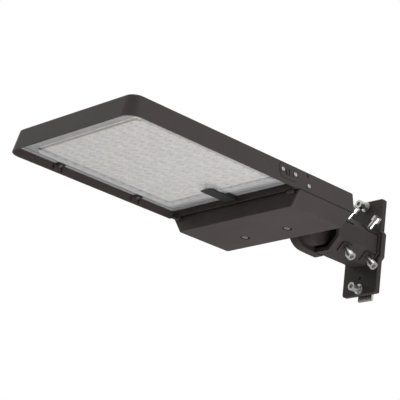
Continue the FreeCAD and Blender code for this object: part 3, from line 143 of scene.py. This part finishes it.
def makeLensPlastic(name, clear, rough):
    # injection moulded polycarbonate, clear with a milky haze that hides the board's edges
    material = newMaterial(name)
    haze = grain(material, 18.0, 2.0)
    tint = blendColours(material, between(material, haze.outputs[0], 0, 1), "dcdbdc", "cfcfd2")
    return finishMaterial(material, {
        "Base Color": tint, "Roughness": between(material, haze.outputs[0], *rough),
        "IOR": 1.58, "Alpha": clear,
    })


def makeBoardWhite():
    # white solder mask on an aluminium board, in soft blotches of two near whites
    material = newMaterial("whiteSolderMask")
    blotch = grain(material, 6.0, 3.0)
    tint = blendColours(material, between(material, blotch.outputs[0], 0, 1), "e3e2dd", "d6d4cd")
    return finishMaterial(material, {
        "Base Color": tint, "Roughness": between(material, blotch.outputs[0], 0.35, 0.5),
    })


def makePhosphor():
    # yellow phosphor in silicone over each LED
    material = newMaterial("phosphorSilicone")
    blotch = grain(material, 1.5, 2.0)
    tint = blendColours(material, between(material, blotch.outputs[0], 0, 1), "e39a28", "d98e20")
    return finishMaterial(material, {
        "Base Color": tint, "Roughness": between(material, blotch.outputs[0], 0.3, 0.45),
    })


def makePlastic(name, colour, cloud, rough):
    # moulded plastic or silicone with a fine spark-eroded texture, which takes off its gloss
    material = newMaterial(name)
    texture = grain(material, 0.9, 3.0)
    clouds = grain(material, 25.0, 2.0)
    tint = blendColours(material, between(material, clouds.outputs[0], 0, 1), colour, cloud)
    bump = addNode(material, "Bump", {
        "Height": texture.outputs[0], "Strength": 0.3, "Distance": 0.03 * mm,
    })
    return finishMaterial(material, {
        "Base Color": tint, "Roughness": between(material, texture.outputs[0], *rough),
        "Normal": bump.outputs[0],
    })


def makeDrawnAluminium():
    # drawn and anodised aluminium case: fine lines along its length
    material = newMaterial("drawnAluminium")
    place = addNode(material, "TexCoord")
    stretch = addNode(material, "Mapping", {"Vector": place.outputs["Object"], "Scale": (1, 0.02, 1)})
    lines = addNode(material, "TexNoise", {"Vector": stretch.outputs[0], "Scale": 1 / (0.8 * mm)})
    tint = blendColours(material, between(material, lines.outputs[0], 0, 1), "a9aaac", "97989b")
    return finishMaterial(material, {
        "Base Color": tint, "Metallic": 1.0,
        "Roughness": between(material, lines.outputs[0], 0.36, 0.5),
    })


coat = makeCoat(
    "satinPowderCoat", powderCoat["peelMm"], powderCoat["peelHeight"], powderCoat["rough"],
    powderCoat["colour"], powderCoat["cloud"],
)
castCoat = makeCoat(
    "castPowderCoat", powderCoat["castMm"], powderCoat["castHeight"], powderCoat["castRough"],
    powderCoat["castColour"], powderCoat["castCloud"],
)
zinc = makeZincSteel()
lensPlastic = makeLensPlastic("mouldedPolycarbonate", 0.3, (0.22, 0.3))
domePlastic = makeLensPlastic("polishedPolycarbonate", 0.12, (0.1, 0.16))
boardWhite = makeBoardWhite()
phosphor = makePhosphor()
# black silicone cord of the seals: dull and soft to the eye
sealRubber = makePlastic("siliconeSeal", "2b2a2a", "232222", (0.6, 0.75))
# glass-filled black nylon of the clips and the lead cover: dark with a faint sheen
blackPlastic = makePlastic("blackNylon", "1f1e1f", "181718", (0.45, 0.6))
# off-white nylon of the terminal block and the surge protector
palePlastic = makePlastic("paleNylon", "d9d7cf", "cdcbc2", (0.4, 0.55))
drawnAluminium = makeDrawnAluminium()

slotMaterials = {
    "bronze_coat": coat, "cast_bronze_coat": castCoat, "zinc_steel": zinc,
    "lens_plastic": lensPlastic, "seal_rubber": sealRubber, "board_metal": boardWhite,
    "led_plastic": phosphor, "dark_plastic": blackPlastic, "driver_metal": drawnAluminium,
    "pale_plastic": palePlastic,
}
for subpart in frame["record"]["subparts"]:
    node = frame["nodes"][subpart["node"]]
    for slot in node.material_slots:
        slot.material = slotMaterials[subpart["material_slot"]]
print("materials made:", len(slotMaterials))


# new pieces

edges = {
    "mergeMm": 0.004,  # vertices of a CAD mesh closer than this are one
    "flatDegrees": 0.6,  # faces that meet at less are one flat face
    "roundFrom": 28,  # edges that turn by more get rounded
    "roundSteps": 2,
    "sharpFrom": 50,  # edges that turn by more stay sharp in the shading
}


def newPiece(name, bm, material, body, replaced=()):
    bmesh.ops.recalc_face_normals(bm, faces=bm.faces)
    mesh = bpy.data.meshes.new(name)
    bm.to_mesh(mesh)
    bm.free()
    mesh.materials.append(material)
    mesh.shade_smooth()
    mesh.set_sharp_from_angle(angle=math.radians(edges["sharpFrom"]))
    piece = bpy.data.objects.new(name, mesh)
    bpy.context.scene.collection.objects.link(piece)
    flatFaces = piece.modifiers.new("flatFaces", "WEIGHTED_NORMAL")
    flatFaces.keep_sharp = True
    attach(piece, body)
    if replaced:
        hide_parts(*replaced)
    return piece


def mergedCopy(nodeName):
    bm = bmesh.new()
    bm.from_mesh(frame["nodes"][nodeName].data)
    bmesh.ops.remove_doubles(bm, verts=bm.verts, dist=edges["mergeMm"] * mm)
    return bm


def softCopy(nodeName, material, slotName, body, width):
    # the node's own shape with its sharp edges rounded a little, as the coat rounds them
    bm = mergedCopy(nodeName)
    bmesh.ops.dissolve_limit(
        bm, angle_limit=math.radians(edges["flatDegrees"]), verts=bm.verts, edges=bm.edges,
        delimit={"NORMAL"},
    )
    sharp = [
        edge for edge in bm.edges
        if len(edge.link_faces) == 2
        and edge.calc_face_angle(0) > math.radians(edges["roundFrom"])
    ]
    bmesh.ops.bevel(
        bm, geom=sharp, offset=width * mm, affect="EDGES", segments=edges["roundSteps"],
        profile=0.5, material=-1, clamp_overlap=True,
    )
    newPiece(nodeName.replace("_", "") + "Coated", bm, material, body, [nodeName])


# camera, floor and light

# place in metres, and the directions of the picture's right, its top and the viewer
cameraSettings = {
    "place": (2.1276, 1.9771, -0.9533),
    "right": (-0.72558784, 0.67809053, 0.11711326),
    "up": (0.30789495, 0.16771469, 0.93652148),
    "back": (0.61540474, 0.71558718, -0.33047239),
    "lens": 144.27,
    "sensor": 36,
    "farEnd": 100,
}
camera = bpy.data.objects.new("photoCamera", bpy.data.cameras.new("photoCamera"))
bpy.context.scene.collection.objects.link(camera)
turn = Matrix((cameraSettings["right"], cameraSettings["up"], cameraSettings["back"])).transposed()
camera.matrix_world = Matrix.Translation(cameraSettings["place"]) @ turn.to_4x4()
camera.data.lens = cameraSettings["lens"]
camera.data.sensor_width = cameraSettings["sensor"]
camera.data.clip_end = cameraSettings["farEnd"]
bpy.context.scene.camera = camera

floor = {"height": -1.6, "size": 40}
floorMaterial = newMaterial("paleFloor")
finishMaterial(floorMaterial, {"Base Color": linear("e9e9e7"), "Roughness": 0.8})
bm = bmesh.new()
bmesh.ops.create_grid(bm, x_segments=1, y_segments=1, size=floor["size"] / 2)
floorMesh = bpy.data.meshes.new("floor")
bm.to_mesh(floorMesh)
bm.free()
floorMesh.materials.append(floorMaterial)
floorPiece = bpy.data.objects.new("floor", floorMesh)
floorPiece.location.z = floor["height"]
bpy.context.scene.collection.objects.link(floorPiece)


# place in metres, size across in metres and power in watts
lamps = {
    "lowKey": ((0.1, 0.7, -1.45), 1.3, 30),
    "highFill": ((0.4, 2.6, 1.3), 1.8, 16),
    "topLight": ((0.4, -0.6, 2.2), 1.8, 26),
}
lampAim = (0.42, 0, -0.02)


def addLamp(name, place, size, power):
    lamp = bpy.data.objects.new(name, bpy.data.lights.new(name, "AREA"))
    lamp.data.shape = "DISK"
    lamp.data.size = size
    lamp.data.energy = power
    lamp.location = place
    lamp.rotation_mode = "QUATERNION"
    lamp.rotation_quaternion = (Vector(lampAim) - Vector(place)).to_track_quat("-Z", "Y")
    bpy.context.scene.collection.objects.link(lamp)


for lampName, settings in lamps.items():
    addLamp(lampName, *settings)

# white where the camera, a reflection or a clear piece shows it, and dimmer as a light
studio = {"asLight": 0.4, "asSeen": 1.0}
world = bpy.data.worlds.new("studio")
bpy.context.scene.world = world
world.use_nodes = True
world.node_tree.nodes.clear()
rays = addNode(world, "LightPath")
seen = addNode(world, "Math", {
    0: rays.outputs["Is Camera Ray"], 1: rays.outputs["Is Glossy Ray"],
}, operation="MAXIMUM")
seenToo = addNode(world, "Math", {
    0: seen.outputs[0], 1: rays.outputs["Is Transmission Ray"],
}, operation="MAXIMUM")
strength = addNode(world, "MapRange", {
    "Value": seenToo.outputs[0], "To Min": studio["asLight"], "To Max": studio["asSeen"],
})
sky = addNode(world, "Background", {"Color": (1, 1, 1, 1), "Strength": strength.outputs[0]})
addNode(world, "OutputWorld", {"Surface": sky.outputs[0]})
bpy.context.scene.view_settings.view_transform = "Standard"
print("camera, floor and lamps placed")


# coated castings with softened edges

# node: material, slot, body and the rounding of its edges in mm
castings = {
    "housing": (coat, "bronze_coat", "head", 0.5),
    "driver_cover": (coat, "bronze_coat", "cover", 0.4),
    "slipfitter": (castCoat, "cast_bronze_coat", "fitter", 0.5),
    "knuckle_arm": (castCoat, "cast_bronze_coat", "head", 0.4),
    "pole_plate": (castCoat, "cast_bronze_coat", "pole_mount", 0.5),
}
for nodeName, settings in castings.items():
    softCopy(nodeName, *settings)
print("castings softened:", len(castings))


# lens optics

optics = {
    "face": -15.4,  # height of the moulded field's face in mm
    "foot": 7.9,  # radius of a dome at its foot in mm
    "high": 2.0,  # how far it stands out in mm
    "around": 14,
    "rings": 8,
}


def chipCentres():
    # every LED is a block of its own, so the middle of each loose block is an LED's place
    bm = mergedCopy("led_chips")
    found = set()
    centres = []
    for start in bm.verts:
        if start in found:
            continue
        found.add(start)
        block = [start]
        for vertex in block:
            for link in vertex.link_edges:
                other = link.other_vert(vertex)
                if other not in found:
                    found.add(other)
                    block.append(other)
        centres.append(sum((vertex.co for vertex in block), Vector()) / len(block))
    bm.free()
    return sorted(centres, key=lambda c: (round(c.x, 4), round(c.y, 4)))


def addDomes():
    # one round lens stands on the moulded field under each LED
    bm = bmesh.new()
    faceZ = optics["face"] * mm
    foot = optics["foot"] * mm
    flat = Matrix.Diagonal((foot, foot, optics["high"] * mm, 1))
    for centre in chipCentres():
        bmesh.ops.create_uvsphere(
            bm, u_segments=optics["around"], v_segments=optics["rings"], radius=1,
            matrix=Matrix.Translation((centre.x, centre.y, faceZ)) @ flat,
        )
    geometry = [*bm.verts, *bm.edges, *bm.faces]
    bmesh.ops.bisect_plane(
        bm, geom=geometry, plane_co=(0, 0, faceZ), plane_no=(0, 0, 1), clear_outer=True,
    )
    bmesh.ops.holes_fill(bm, edges=bm.edges, sides=0)
    newPiece("lensDomes", bm, domePlastic, "head")


addDomes()
print("lens domes placed")

print("scene dressed")
